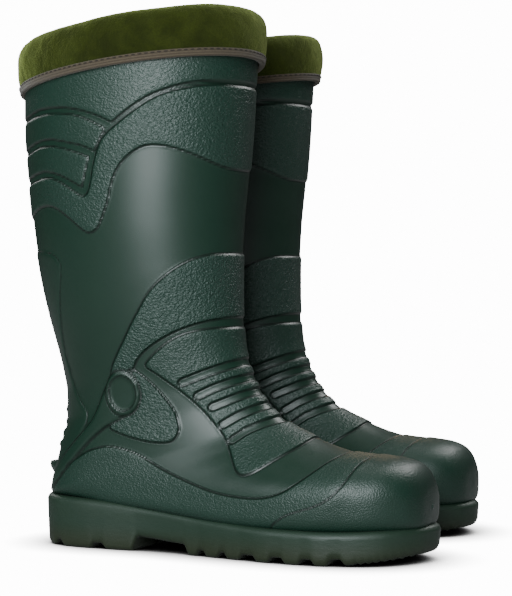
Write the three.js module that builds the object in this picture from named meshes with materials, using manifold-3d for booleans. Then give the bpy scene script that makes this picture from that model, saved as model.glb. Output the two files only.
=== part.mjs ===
// A pair of insulated hunting boots. Millimetres, +Z up, toes toward -Y.
// Every boot shape is written once for the right boot in boot coordinates:
// s = forward from the heel, l = outward from the boot's middle plane, h = up from the floor.
// The left boot is the same shape mirrored.
import * as THREE from "three";
import Module from "manifold-3d";

const wasm = await Module();
wasm.setup();

// ---- driving dimensions ----
const footLength = 318.5; // heel to toe over the outsole
const bootSpacing = 160; // between the middle planes of the two boots
const leftSetBack = 20; // the left boot stands this much further back
const rimHeight = 392; // foam edge above the floor, at the middle of the shaft
const rimRise = 0.13; // the edge climbs this much per mm toward the front
const rimLean = 0.05; // and this much per mm toward the outer side
const shaftWall = 6.5; // foam wall thickness
const floorWall = 6; // foam under the foot, above the outsole
const legLining = 8; // plush and wadding of the liner's leg
const footLining = 6; // the liner's foot
const linerSoleThick = 4;
const footbedThick = 3.5;
const ankleSplit = 160; // height where the liner's foot is sewn to its leg
const cuffDrop = 30; // how far the cuff hangs below the foam edge
const cuffThick = 5.5; // folded plush at its fullest
const hemThick = 3.4; // and where the binding grips it
const rollRise = 8.5; // top of the roll above the foam edge
const bindingHeight = 6.5;
const bindingThick = 1;
const threadSize = 0.9;
const lugDepth = 5;
const bandFlare = 1; // the outsole's upper edge stands proud of the upper

// ---- clearances ----
const bondGap = 0.3; // between pieces glued or sewn together
const slipGap = 0.8; // between the foam shaft and the liner's leg

const around = 24; // points in a section
const rearPlane = -2;
const middle = 73; // s of the shaft's axis

const foam = { color: 0x263f34, roughness: 0.6 };
const soleFoam = { color: 0x2a3f30, roughness: 0.7 };
const plush = { color: 0x4b5a1e, roughness: 1 };
const felt = { color: 0x6a6f55, roughness: 1 };
const tape = { color: 0x8c806e, roughness: 0.9 };
const thread = { color: 0x3a352c, roughness: 0.9 };

// ---- the upper's stations ----
// Each station is a slanted section: back (or bottom) point, front (or top) point,
// half widths outward and inward, and where along the section it is widest.
// The first is the foam edge, the last is the tip of the toe.
const stations = [
  { b: [-26, rimHeight], f: [170, rimHeight], out: 71, in: 71, at: 0.5, nb: 2, nf: 2 },
  { b: [-25, 355], f: [167.5, 357], out: 70.5, in: 70.5, at: 0.5, nb: 2, nf: 2 },
  { b: [-23, 325], f: [165.5, 325], out: 69.5, in: 69.5, at: 0.5, nb: 2, nf: 2 },
  { b: [-20.5, 290], f: [162.5, 290], out: 67.5, in: 67.5, at: 0.5, nb: 2, nf: 2 },
  { b: [-16.5, 250], f: [158.8, 252], out: 64.5, in: 64.5, at: 0.5, nb: 2, nf: 2 },
  { b: [-11, 212], f: [157.5, 220], out: 60, in: 60, at: 0.5, nb: 2, nf: 2 },
  { b: [-4, 182], f: [158, 194], out: 55.5, in: 55.5, at: 0.48, nb: 2, nf: 2 },
  { b: [3, 158], f: [159.5, 173], out: 51, in: 51, at: 0.46, nb: 2, nf: 2 },
  { b: [9, 137], f: [161.5, 157], out: 47, in: 47, at: 0.43, nb: 2.05, nf: 2 },
  { b: [12.5, 117], f: [166, 143], out: 43.5, in: 43, at: 0.4, nb: 2.1, nf: 2 },
  { b: [11.5, 97], f: [171.5, 131], out: 41.5, in: 40.5, at: 0.36, nb: 2.2, nf: 2 },
  { b: [5.5, 77], f: [178.5, 119.5], out: 41, in: 39.5, at: 0.32, nb: 2.4, nf: 2 },
  { b: [2.5, 58], f: [187, 109.8], out: 42, in: 40, at: 0.29, nb: 2.8, nf: 2 },
  { b: [2.5, 40], f: [196.5, 102], out: 43, in: 40, at: 0.27, nb: 3.2, nf: 2 },
  { b: [38, 35.5], f: [206.5, 96.2], out: 44, in: 40, at: 0.28, nb: 4, nf: 2 },
  { b: [82, 32.5], f: [217.5, 91], out: 46, in: 40, at: 0.3, nb: 4.5, nf: 2.05 },
  { b: [126, 28.5], f: [229.5, 85.5], out: 50, in: 42, at: 0.33, nb: 4.5, nf: 2.1 },
  { b: [166, 25.5], f: [242, 81], out: 54, in: 46, at: 0.36, nb: 4.5, nf: 2.15 },
  { b: [202, 24], f: [254.5, 77.8], out: 56, in: 49.5, at: 0.4, nb: 4.5, nf: 2.2 },
  { b: [234, 24], f: [267, 76.5], out: 55.5, in: 50.5, at: 0.44, nb: 4.2, nf: 2.25 },
  { b: [261, 25.5], f: [279, 75.3], out: 50.5, in: 48, at: 0.45, nb: 4, nf: 2.3 },
  { b: [281, 27], f: [291, 74], out: 45, in: 44, at: 0.46, nb: 3.6, nf: 2.3 },
  { b: [297, 29], f: [302, 70.5], out: 36.5, in: 37, at: 0.47, nb: 3.2, nf: 2.3 },
  { b: [308, 32], f: [309.8, 64], out: 27, in: 28, at: 0.48, nb: 2.8, nf: 2.2 },
  { b: [313.5, 36], f: [314.6, 55], out: 15, in: 17, at: 0.5, nb: 2.4, nf: 2 },
];
const toeTip = [316, -3, 45];

// ---- the outsole in plan: half widths outward and inward at each s ----
const outline = {
  out: [[-2, 0], [0, 15], [8, 31], [24, 41], [55, 44.5], [95, 44], [135, 47], [175, 53.5],
    [212, 59], [240, 59.5], [265, 54.5], [289, 44.5], [304, 30], [313.5, 11], [316.5, -4]],
  in: [[-2, 0], [0, -15], [8, -31], [24, -40], [55, -42.5], [95, -40.5], [135, -40], [175, -45],
    [210, -51.5], [238, -53.5], [262, -51], [286, -44], [302, -32.5], [312.5, -19], [316.5, -4]],
};
// top and bottom of the outsole along s
const outsoleTop = [[-2, 40], [60, 37.5], [110, 33.5], [160, 29], [210, 27], [250, 27.5],
  [290, 30.5], [317, 33]];
const outsoleBottom = [[-2, 2], [10, 0], [235, 0], [265, 1.5], [290, 5], [317, 11.5]];
// grooves across the sole: where each starts and ends along s, and how high it is
const grooves = [[17.5, 24.5], [52, 63], [145, 152], [164, 171], [183.5, 196.5], [208.5, 220],
  [233, 243.5], [255, 265]];
const archGroove = [89, 135];
const archHigh = 10;

// ---- small helpers for points along a line ----
function along(table, x) {
  for (let i = 1; i < table.length; i += 1) {
    const [x0, y0] = table[i - 1];
    const [x1, y1] = table[i];
    if (x <= x1) {
      const t = Math.max(0, (x - x0) / (x1 - x0));
      return y0 + (y1 - y0) * t;
    }
  }
  return table[table.length - 1][1];
}

function mix(a, b, t) {
  return a + (b - a) * t;
}

function signedPower(value, power) {
  return Math.sign(value) * Math.abs(value) ** power;
}

// One point of a station's section; turn 0 is the back or bottom, half a turn the front or top.
function onSection(st, turn) {
  const c = -Math.cos(turn);
  const v = Math.sin(turn);
  const n = c > 0 ? st.nf : st.nb;
  const reach = c > 0 ? 1 - st.at : st.at;
  const k = st.at + reach * signedPower(c, 2 / n);
  const wide = v > 0 ? st.out : st.in;
  const l = (st.c ?? 0) + wide * signedPower(v, 2 / n);
  return [mix(st.b[0], st.f[0], k), l, mix(st.b[1], st.f[1], k)];
}

// Moves both ends of every station inward, so that the wall between keeps its thickness.
function shrink(list, wall, floor = wall) {
  return list.map((st, i) => {
    const before = list[Math.max(0, i - 1)];
    const after = list[Math.min(list.length - 1, i + 1)];
    const across = [st.f[0] - st.b[0], st.f[1] - st.b[1]];
    const span = Math.hypot(across[0], across[1]);
    const dir = [across[0] / span, across[1] / span];
    const step = (key, sign, depth) => {
      const run = [after[key][0] - before[key][0], after[key][1] - before[key][1]];
      const size = Math.hypot(run[0], run[1]) || 1;
      const square = Math.abs((run[0] * dir[1] - run[1] * dir[0]) / size);
      return (sign * depth) / Math.max(square, 0.55);
    };
    const b = step("b", 1, st.b[0] > 30 ? floor : wall);
    const f = step("f", -1, wall);
    return {
      ...st,
      at: (st.at * span - b) / (span - b + f),
      b: [st.b[0] + dir[0] * b, st.b[1] + dir[1] * b],
      f: [st.f[0] + dir[0] * f, st.f[1] + dir[1] * f],
      out: st.out - wall,
      in: st.in - wall,
    };
  });
}

// The foam edge is not level: it climbs toward the front and the outer side.
function rimOffset(s, l) {
  return rimRise * (s - middle) + rimLean * l;
}

// ---- closed bodies from rings of points ----
// rings: arrays of points, joined in order; a ring of one point closes an end.
function loft(rings, loop = false) {
  const points = [];
  const faces = [];
  const starts = rings.map((ring) => {
    points.push(...ring);
    return points.length - ring.length;
  });
  const last = loop ? rings.length : rings.length - 1;
  for (let i = 0; i < last; i += 1) {
    const a = rings[i];
    const b = rings[(i + 1) % rings.length];
    const sa = starts[i];
    const sb = starts[(i + 1) % rings.length];
    const n = Math.max(a.length, b.length);
    for (let j = 0; j < n; j += 1) {
      const k = (j + 1) % n;
      if (a.length === 1) {
        faces.push([sa, sb + j, sb + k]);
      } else if (b.length === 1) {
        faces.push([sa + k, sa + j, sb]);
      } else {
        faces.push([sa + j, sb + j, sb + k], [sa + j, sb + k, sa + k]);
      }
    }
  }
  return { points, faces };
}

function ringOf(st, count = around) {
  return Array.from({ length: count }, (_, j) => onSection(st, (2 * Math.PI * j) / count));
}

// the same ring cut off by the sloping foam edge
function rimRing(st, lift, count = around) {
  return ringOf(st, count).map(([s, l, h]) => [s, l, h + lift + rimOffset(s, l)]);
}

// ---- from boot coordinates to the pair's own frame ----
function place(body, side) {
  const setBack = side < 0 ? 0 : leftSetBack;
  return body.points.map(([s, l, h]) => [
    side * (bootSpacing / 2 + l),
    footLength / 2 + rearPlane - s + setBack,
    h,
  ]);
}

function volumeOf(points, faces) {
  let sum = 0;
  for (const [a, b, c] of faces) {
    const [p, q, r] = [points[a], points[b], points[c]];
    sum += p[0] * (q[1] * r[2] - q[2] * r[1]);
    sum -= p[1] * (q[0] * r[2] - q[2] * r[0]);
    sum += p[2] * (q[0] * r[1] - q[1] * r[0]);
  }
  return sum / 6;
}

function solid(body) {
  const faces = volumeOf(body.points, body.faces) < 0
    ? body.faces.map(([a, b, c]) => [a, c, b])
    : body.faces;
  const mesh = new wasm.Mesh({
    numProp: 3,
    vertProperties: new Float32Array(body.points.flat()),
    triVerts: new Uint32Array(faces.flat()),
  });
  mesh.merge();
  return new wasm.Manifold(mesh);
}

function bodyOf(manifold) {
  const mesh = manifold.getMesh();
  const points = [];
  for (let i = 0; i < mesh.numVert; i += 1) {
    points.push([...mesh.vertProperties.slice(i * mesh.numProp, i * mesh.numProp + 3)]);
  }
  const faces = [];
  for (let i = 0; i < mesh.numTri; i += 1) {
    faces.push([...mesh.triVerts.slice(3 * i, 3 * i + 3)]);
  }
  return { points, faces };
}

// ---- upper: one hollow moulding with its ribs, side disc and heel spur ----
function makeUpper() {
  const inner = shrink(stations, shaftWall, floorWall);
  const tip = inner[inner.length - 3];
  const rings = [
    [toeTip],
    ...stations.slice(1).reverse().map((st) => ringOf(st)),
    rimRing(stations[0], 0),
    rimRing(inner[0], 0),
    ...inner.slice(1, -2).map((st) => ringOf(st)),
    [[mix(tip.b[0], tip.f[0], 0.5) + 4, -4, mix(tip.b[1], tip.f[1], 0.5)]],
  ];
  let shell = solid(loft(rings));
  for (const piece of [...instepRibs(), sideDisc(), heelSpur()]) {
    shell = shell.add(piece);
  }
  return bodyOf(shell);
}

// Five flex ribs laid across the instep, each a low bar half sunk in the wall.
const ribCount = 5;
const ribFirst = 8.55; // in stations, counted from the foam edge
const ribPitch = 1.16;
const ribWidth = 0.42;
const ribRise = 1.6;
const ribSink = 2;
const ribReach = 1.02; // radians to each side of the top

function stationAt(t) {
  const i = Math.min(stations.length - 2, Math.floor(t));
  const [a, b] = [stations[i], stations[i + 1]];
  const k = t - i;
  const blend = (key) => mix(a[key], b[key], k);
  return {
    b: [mix(a.b[0], b.b[0], k), mix(a.b[1], b.b[1], k)],
    f: [mix(a.f[0], b.f[0], k), mix(a.f[1], b.f[1], k)],
    out: blend("out"),
    in: blend("in"),
    at: blend("at"),
    nb: blend("nb"),
    nf: blend("nf"),
  };
}

function raised(t, turn, rise) {
  const here = new THREE.Vector3(...onSection(stationAt(t), turn));
  const east = new THREE.Vector3(...onSection(stationAt(t), turn + 0.05));
  const north = new THREE.Vector3(...onSection(stationAt(t + 0.1), turn));
  const normal = east.sub(here).cross(north.sub(here)).normalize();
  const middleOf = onSection(stationAt(t), 0);
  const outward = here.clone().sub(new THREE.Vector3(middleOf[0], 0, middleOf[2]));
  if (normal.dot(outward) < 0) {
    normal.negate();
  }
  return here.addScaledVector(normal, rise).toArray();
}

function instepRibs() {
  return Array.from({ length: ribCount }, (_, i) => {
    const t = ribFirst + i * ribPitch;
    const rings = Array.from({ length: 9 }, (_, j) => {
      const share = (2 * j) / 8 - 1;
      const turn = Math.PI + share * ribReach;
      const low = ribWidth * (Math.abs(share) === 1 ? 0.45 : 1);
      return [
        raised(t - low, turn, -ribSink),
        raised(t - low * 0.7, turn, ribRise),
        raised(t + low * 0.7, turn, ribRise),
        raised(t + low, turn, -ribSink),
      ];
    });
    const centre = (ring) => {
      const sum = ring.reduce((a, p) => a.map((v, k) => v + p[k]), [0, 0, 0]);
      return [sum.map((v) => v / ring.length)];
    };
    return solid(loft([centre(rings[0]), ...rings, centre(rings[8])]));
  });
}

// A round boss low on the outer side, where the ankle strap ends.
const discAt = [80.5, 121];
const discSize = [14, 17.2]; // half its length along the foot, half its height
const discRise = 2.2;
const discSeat = 43.5; // outward to the wall it stands on

function sideDisc() {
  const deep = shaftWall - 1.5 + discRise;
  const disc = wasm.Manifold.cylinder(deep, 1, 0.92, 28).rotate([-90, 0, 0]);
  return disc.scale([discSize[0], 1, discSize[1]])
    .translate([discAt[0], discSeat + discRise - deep, discAt[1]]);
}

// A short ledge at the back of the heel to push against when pulling the boot off.
function heelSpur() {
  const st = [
    { b: [1.5, 50.5], out: 18 },
    { b: [-3.5, 51.5], out: 17 },
    { b: [-3.5, 54.5], out: 15 },
    { b: [2, 65], out: 11 },
  ];
  const ring = (p, depth) => Array.from({ length: 9 }, (_, j) => {
    const k = (2 * j) / 8 - 1;
    return [p.b[0] + depth + 4.5 * k * k, p.out * k, p.b[1]];
  });
  const rings = st.map((p) => [...ring(p, 0), ...ring(p, 5.5 - p.b[0]).reverse()]);
  const cap = (i) => [[4.5, 0, st[i].b[1]]];
  return solid(loft([cap(0), ...rings, cap(3)]));
}

// ---- outsole: one thick lugged unit under the upper ----
function outlineRing(grow, height) {
  const ring = [];
  const side = (list, sign) => list.map(([s, l]) => {
    const back = s < 30 ? (30 - s) / 32 : 0;
    const front = s > 265 ? (s - 265) / 49 : 0;
    const square = Math.sqrt(Math.max(0, 1 - Math.max(back, front) ** 2));
    return [s + grow * (front - back), l + sign * grow * square];
  });
  ring.push(...side(outline.out, 1), ...side(outline.in, -1).slice(1, -1).reverse());
  return ring.map(([s, l]) => [s, l, height(s)]);
}

function makeOutsole() {
  const top = (s) => along(outsoleTop, s) - bondGap;
  const bottom = (s) => along(outsoleBottom, s);
  const centre = (height) => [[150, 0, height(150)]];
  // the rings carry a ridge line down the middle so that the curved top stays true
  const rings = [
    outlineRing(-4, bottom),
    outlineRing(-1.5, (s) => bottom(s) + 5),
    outlineRing(-0.5, (s) => mix(bottom(s), top(s), 0.6)),
    outlineRing(bandFlare, (s) => top(s) - 4),
    outlineRing(bandFlare - 1, top),
  ];
  const walls = loft(rings);
  const n = rings[0].length;
  const across = outline.out.length;
  // flat caps: the outer and inner edges share their s, so strips across close them
  const strip = (start) => {
    for (let i = 0; i < across - 1; i += 1) {
      const a = start + i;
      const b = start + i + 1;
      const c = start + ((n - i) % n);
      const d = start + (n - i - 1);
      if (i === 0) {
        walls.faces.push(start === 0 ? [a, b, d] : [a, d, b]);
      } else if (i === across - 2) {
        walls.faces.push(start === 0 ? [a, b, c] : [a, c, b]);
      } else {
        walls.faces.push(...(start === 0 ? [[a, d, c], [a, b, d]] : [[a, c, d], [a, d, b]]));
      }
    }
  };
  strip(0);
  strip(4 * n);
  let sole = solid(walls);
  const cut = (from, to, high) => wasm.Manifold.cube([to - from, 200, high + 30])
    .translate([from, -100, -30 + Math.max(0, along(outsoleBottom, (from + to) / 2))]);
  for (const [from, to] of grooves) {
    sole = sole.subtract(cut(from, to, lugDepth));
  }
  sole = sole.subtract(cut(archGroove[0], archGroove[1], archHigh));
  const channel = wasm.Manifold.cube([86, 14, lugDepth + 30]);
  sole = sole.subtract(channel.translate([185, -5, -30]));
  return bodyOf(sole.subtract(cavity(-bondGap, -bondGap)));
}

// ---- flat inner soles, following the floor and trimmed to the cavity ----
const floorLine = shrink(stations, shaftWall, floorWall).slice(13).map((st) => st.b);

// The space inside the upper, or the space it fills when wall and floor are negative.
function cavity(wall, floor) {
  const list = shrink(stations, wall, floor).slice(1, wall > 0 ? -2 : undefined);
  const tip = list[list.length - 1];
  const top = list[0];
  return solid(loft([
    [[mix(top.b[0], top.f[0], 0.5), 0, top.b[1]]],
    ...list.map((st) => ringOf(st)),
    [[mix(tip.b[0], tip.f[0], 0.5) + 2, -4, mix(tip.b[1], tip.f[1], 0.5)]],
  ]));
}

function plate(from, to, inset, base, thick) {
  const steps = 15;
  const rings = [];
  for (let i = 0; i <= steps; i += 1) {
    const k = i / steps;
    const s = mix(from, to, 0.5 - 0.5 * Math.cos(Math.PI * k));
    const round = Math.min(1, Math.sqrt(Math.max(0.02, Math.sin(Math.PI * k) * 1.7)));
    const low = along(floorLine, s) + base;
    const out = (along(outline.out, s) - inset) * round;
    const inn = (along(outline.in, s) + inset) * round;
    rings.push([[s, inn, low], [s, out, low], [s, out, low + thick], [s, inn, low + thick]]);
  }
  const centre = (ring) => [[
    ring[0][0], (ring[0][1] + ring[1][1]) / 2, (ring[0][2] + ring[2][2]) / 2,
  ]];
  const slab = solid(loft([centre(rings[0]), ...rings, centre(rings[steps])]));
  return bodyOf(slab.intersect(cavity(shaftWall + bondGap, floorWall + bondGap)));
}

// ---- liner ----
const linerStations = shrink(stations, shaftWall + slipGap);

// The leg never gets wider downward, so that the liner lifts straight out.
function legStations() {
  const front = 157 - shaftWall - slipGap;
  return linerStations.slice(1, 9).map((st) => ({
    ...st,
    f: [Math.min(st.f[0], st.f[1] > 225 ? 999 : front - 0.02 * (225 - st.f[1])), st.f[1]],
  }));
}

function makeLinerLeg() {
  const list = legStations();
  const top = linerStations[0];
  const inner = shrink([top, ...list], legLining);
  const rings = [
    ...[...list].reverse().map((st) => ringOf(st)),
    rimRing(top, -14),
    rimRing(inner[0], -14),
    ...inner.slice(1).map((st) => ringOf(st)),
  ];
  return bodyOf(solid(loft(rings, true)).trimByPlane([0, 0, 1], ankleSplit));
}

// everything under a surface that runs a given height above the floor
function below(height) {
  const rings = [[-40, floorLine[0][1]], ...floorLine, [340, floorLine[floorLine.length - 1][1]]]
    .map(([s, h]) => [[s, -80, 0], [s, 80, 0], [s, 80, h + height], [s, -80, h + height]]);
  const centre = (ring) => [[ring[0][0], 0, ring[2][2] / 2]];
  return solid(loft([centre(rings[0]), ...rings, centre(rings[rings.length - 1])]));
}

function makeLinerFoot() {
  const side = shaftWall + slipGap;
  const under = footbedThick + linerSoleThick + 3 * bondGap;
  const outer = cavity(side, side).subtract(below(under));
  const inner = cavity(side + footLining, side + footLining).subtract(below(under + footLining));
  return bodyOf(outer.subtract(inner).trimByPlane([0, 0, -1], -(ankleSplit - bondGap)));
}

// ---- cuff: the liner's top folded outwards over the foam edge ----
// A profile of [outward, up] points measured from the foam edge, swept around the rim.
function sweep(profile, count = around) {
  const rings = Array.from({ length: count }, (_, j) => {
    const turn = (2 * Math.PI * j) / count;
    return profile.map(([out, up]) => {
      const st = { ...stations[0], out: stations[0].out + out, in: stations[0].in + out };
      st.b = [stations[0].b[0] - out, rimHeight];
      st.f = [stations[0].f[0] + out, rimHeight];
      const [s, l] = onSection(st, turn);
      return [s, l, rimHeight + rimOffset(s, l) + up];
    });
  });
  return loft(rings, true);
}

function makeCuff() {
  const inside = -(shaftWall + slipGap);
  return sweep([
    [inside - legLining, -14 + bondGap],
    [inside, -14 + bondGap],
    [inside + 0.4, -3],
    [-shaftWall, 0.9],
    [-shaftWall / 2, 1.6],
    [0.3, 0.9],
    [0.8, -6],
    [0.8, -cuffDrop],
    [0.8 + hemThick, -cuffDrop],
    [0.8 + cuffThick, -16],
    [0.8 + cuffThick - 0.5, 0],
    [1.5, 6.6],
    [-shaftWall / 2 - 2, rollRise],
    [-shaftWall - 6, 6.4],
    [inside - legLining, -1],
  ]);
}

// ---- binding: ribbed tape folded round the cuff's lower edge ----
const bindOut = 0.8 + hemThick + bondGap; // outer face of the cuff, plus the gap

function makeBinding() {
  const low = -cuffDrop - bondGap;
  const high = low + bindingHeight;
  return sweep([
    [0.5 - bindingThick + 0.6, low - bindingThick],
    [bindOut + bindingThick, low - bindingThick],
    [bindOut + bindingThick + 1.1, high],
    [bindOut + 1.1, high],
    [bindOut + 0.1, low],
    [0.5 - bindingThick + 0.6, low],
  ]);
}

function makeThread() {
  const out = bindOut + bindingThick + 1.1;
  const up = -cuffDrop - bondGap + bindingHeight - 2;
  return sweep([
    [out, up], [out + threadSize, up], [out + threadSize, up + threadSize],
    [out, up + threadSize],
  ]);
}

// ---- the pair ----
const pieces = [
  ["upper", makeUpper(), foam],
  ["outsole", makeOutsole(), soleFoam],
  ["footbed", plate(10, 296, 9, bondGap, footbedThick), felt],
  ["liner_sole", plate(12, 292, 11, footbedThick + 2 * bondGap, linerSoleThick), felt],
  ["liner_foot", makeLinerFoot(), felt],
  ["liner_leg", makeLinerLeg(), plush],
  ["liner_cuff", makeCuff(), plush],
  ["cuff_binding", makeBinding(), tape],
  ["binding_stitch", makeThread(), thread],
];

function meshOf(name, body, look, side) {
  const points = place(body, side);
  const flip = volumeOf(points, body.faces) < 0;
  const faces = flip ? body.faces.map(([a, b, c]) => [a, c, b]) : body.faces;
  const geometry = new THREE.BufferGeometry();
  geometry.setAttribute("position", new THREE.Float32BufferAttribute(points.flat(), 3));
  geometry.setIndex(faces.flat());
  geometry.computeVertexNormals();
  const mesh = new THREE.Mesh(geometry, new THREE.MeshStandardMaterial(look));
  mesh.name = name;
  return mesh;
}

const group = new THREE.Group();
for (const [name, body, look] of pieces) {
  group.add(meshOf(`right_${name}`, body, look, -1));
  group.add(meshOf(`left_${name}`, body, look, 1));
}

// set the pair down with its middle over the origin
const box = new THREE.Box3().setFromObject(group);
const shift = [-(box.min.x + box.max.x) / 2, -(box.min.y + box.max.y) / 2, -box.min.z];
for (const mesh of group.children) {
  mesh.geometry.translate(...shift);
}

export default group;
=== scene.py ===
import math

import bpy
import numpy as np
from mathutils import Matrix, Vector


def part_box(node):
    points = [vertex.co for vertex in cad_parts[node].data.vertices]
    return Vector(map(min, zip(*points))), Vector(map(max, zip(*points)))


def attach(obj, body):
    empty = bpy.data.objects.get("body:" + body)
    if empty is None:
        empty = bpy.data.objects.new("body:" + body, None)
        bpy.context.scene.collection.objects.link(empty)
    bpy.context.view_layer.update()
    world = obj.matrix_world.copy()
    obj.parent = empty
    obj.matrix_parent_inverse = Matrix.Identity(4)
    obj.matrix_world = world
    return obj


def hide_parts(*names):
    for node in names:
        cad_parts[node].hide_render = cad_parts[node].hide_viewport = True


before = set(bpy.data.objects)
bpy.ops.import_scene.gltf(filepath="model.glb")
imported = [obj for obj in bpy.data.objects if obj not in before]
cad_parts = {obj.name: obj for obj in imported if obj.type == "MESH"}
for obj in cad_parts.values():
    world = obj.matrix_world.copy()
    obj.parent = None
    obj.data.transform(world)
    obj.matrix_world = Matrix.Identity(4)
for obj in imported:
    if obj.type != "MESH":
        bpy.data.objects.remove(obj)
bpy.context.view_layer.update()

# ---- UPPERS -----------------------------------------------------------------
# The shaft and foot of each boot are one hollow moulding of closed-cell foam, satin where the
# mould was polished and pebbled where it was etched. The raised panels, the flex grooves over
# the instep, the ankle strap with its round boss and the heel ledge are all part of it.

# Slanted sections from the rim to the toe, in boot millimetres: back s, back h, front s,
# front h, half width outward, half width inward, where it is widest, squareness back, front.
SECTIONS = [
    (-22.5, 392, 170, 392, 70.5, 70.5, 0.5, 2, 2),
    (-23, 355, 167.5, 357, 70, 70, 0.5, 2, 2),
    (-23, 325, 165.5, 325, 69.5, 69.5, 0.5, 2, 2),
    (-20.5, 290, 162.5, 290, 67.5, 67.5, 0.5, 2, 2),
    (-16.5, 250, 158.8, 252, 64.5, 64.5, 0.5, 2, 2),
    (-11, 212, 157.5, 220, 60, 60, 0.5, 2, 2),
    (-4, 182, 158, 194, 55.5, 55.5, 0.48, 2, 2),
    (3, 158, 159.5, 173, 51, 51, 0.46, 2, 2),
    (9, 137, 161.5, 157, 47, 47, 0.43, 2.05, 2),
    (12.5, 117, 166, 143, 43.5, 43, 0.4, 2.1, 2),
    (12.5, 97, 171.5, 131, 41.5, 40.5, 0.36, 2.1, 2),
    (7.5, 77, 178.5, 119.5, 41, 39.5, 0.32, 2.2, 2),
    (4.5, 58, 187, 109.8, 42, 40, 0.29, 2.5, 2),
    (3.5, 40, 196.5, 102, 43, 40, 0.27, 3, 2),
    (38, 35.5, 206.5, 96.2, 44, 40, 0.28, 4.5, 2),
    (82, 32.5, 217.5, 91, 46, 40, 0.3, 8, 2.05),
    (126, 28.5, 229.5, 85.5, 50, 42, 0.33, 8, 2.1),
    (166, 24.5, 242, 81, 54, 46, 0.36, 8, 2.15),
    (202, 22.5, 254.5, 77.8, 56, 49.5, 0.4, 8, 2.2),
    (234, 22, 267, 76.5, 55.5, 50.5, 0.44, 7.5, 2.25),
    (261, 22.5, 279, 75.3, 50.5, 48, 0.45, 7, 2.3),
    (281, 23.5, 291, 74, 45, 44, 0.46, 6, 2.3),
    (297, 24.5, 302, 70.5, 36.5, 37, 0.47, 5, 2.3),
    (307.5, 26, 308.6, 64, 27, 28, 0.48, 4.5, 2.2),
    (312.8, 28.5, 312.8, 55, 15, 17, 0.5, 3.5, 2),
    (314.2, 40, 314.2, 41, 0.1, 0.1, 0.5, 2, 2),
]
BOOT_MIDDLE = 80
SOLE_BEHIND_HEEL = 3
SIDES = {"right": -1, "left": 1}
HEEL_LINE = {name: 1000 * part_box(name + "_outsole")[1].y - SOLE_BEHIND_HEEL for name in SIDES}


def to_pair(points, name):
    """Boot millimetres (forward, outward, up) to the pair's own frame in metres."""
    side = SIDES[name]
    s, l, h = points[..., 0], points[..., 1], points[..., 2]
    return 0.001 * np.stack([side * (BOOT_MIDDLE + l), HEEL_LINE[name] - s, h], -1)


def glide(x, xs, ys):
    """A smooth curve through the points that never swings past them."""
    xs = np.asarray(xs, float)
    ys = np.asarray(ys, float)
    flat = ys.ndim == 1
    if flat:
        ys = ys[:, None]
    gap = np.diff(xs)[:, None]
    rise = np.diff(ys, axis=0) / gap
    slope = np.zeros_like(ys)
    w1 = 2 * gap[1:] + gap[:-1]
    w2 = gap[1:] + 2 * gap[:-1]
    agree = rise[:-1] * rise[1:] > 0
    safe_a = np.where(agree, rise[:-1], 1)
    safe_b = np.where(agree, rise[1:], 1)
    slope[1:-1] = np.where(agree, (w1 + w2) / (w1 / safe_a + w2 / safe_b), 0)
    slope[0], slope[-1] = rise[0], rise[-1]
    x = np.clip(np.asarray(x, float), xs[0], xs[-1])
    i = np.clip(np.searchsorted(xs, x, side="right") - 1, 0, len(xs) - 2)
    step = gap[i]
    t = ((x - xs[i]) / step[..., 0])[..., None]
    out = (
        ys[i] * (1 + 2 * t) * (1 - t) ** 2
        + slope[i] * step * t * (1 - t) ** 2
        + ys[i + 1] * t * t * (3 - 2 * t)
        + slope[i + 1] * step * t * t * (t - 1)
    )
    return out[..., 0] if flat else out


RIM_RISE = 0.13
RIM_LEAN = 0.05
SHAFT_AXIS = 73


def boot_rings(rows, half, first, last):
    """Rings of evenly spread points round the boot, back to outer side to front to inner side."""
    fine = np.linspace(first, last, 900)
    table = glide(fine, np.arange(len(SECTIONS)), SECTIONS)
    run = np.hypot(*np.diff(table[:, :2], axis=0).T) + np.hypot(*np.diff(table[:, 2:4], axis=0).T)
    length = np.concatenate([[0], np.cumsum(run)])
    at = np.interp(np.linspace(0, length[-1], rows), length, fine)
    sec = glide(at, np.arange(len(SECTIONS)), SECTIONS)
    w = np.linspace(-1, 1, 701)
    turn = np.pi / 2 * (1 + np.sign(w) * np.abs(w) ** 1.6)
    c, v = -np.cos(turn), np.clip(np.sin(turn), 0, 1)
    sides = []
    for sign, wide in ((1, sec[:, 4:5]), (-1, sec[:, 5:6])):
        power = 2 / np.where(c > 0, sec[:, 8:9], sec[:, 7:8])
        reach = np.where(c > 0, 1 - sec[:, 6:7], sec[:, 6:7])
        k = sec[:, 6:7] + reach * np.sign(c) * np.abs(c) ** power
        l = sign * wide * v ** power
        s = sec[:, 0:1] + (sec[:, 2:3] - sec[:, 0:1]) * k
        h = sec[:, 1:2] + (sec[:, 3:4] - sec[:, 1:2]) * k
        h = h + np.clip(1 - at, 0, 1)[:, None] * (RIM_RISE * (s - SHAFT_AXIS) + RIM_LEAN * l)
        side = np.empty((rows, half + 1, 3))
        for r in range(rows):
            part = np.stack([s[r], l[r], h[r]], -1)
            arc = np.concatenate([[0], np.cumsum(np.linalg.norm(np.diff(part, axis=0), axis=1))])
            goal = np.linspace(0, arc[-1], half + 1)
            for axis in range(3):
                side[r, :, axis] = np.interp(goal, arc, part[:, axis])
        sides.append(side)
    return np.concatenate([sides[0], sides[1][:, -2:0:-1]], axis=1), at


def outward(rings):
    """Unit normals of a grid of rings."""
    down = np.gradient(rings, axis=0)
    around = np.roll(rings, -1, axis=1) - np.roll(rings, 1, axis=1)
    normal = np.cross(around, down)
    normal /= np.linalg.norm(normal, axis=-1, keepdims=True) + 1e-9
    centre = rings.mean(axis=1, keepdims=True)
    if np.sum(normal * (rings - centre)) < 0:
        normal = -normal
    return normal


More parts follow.
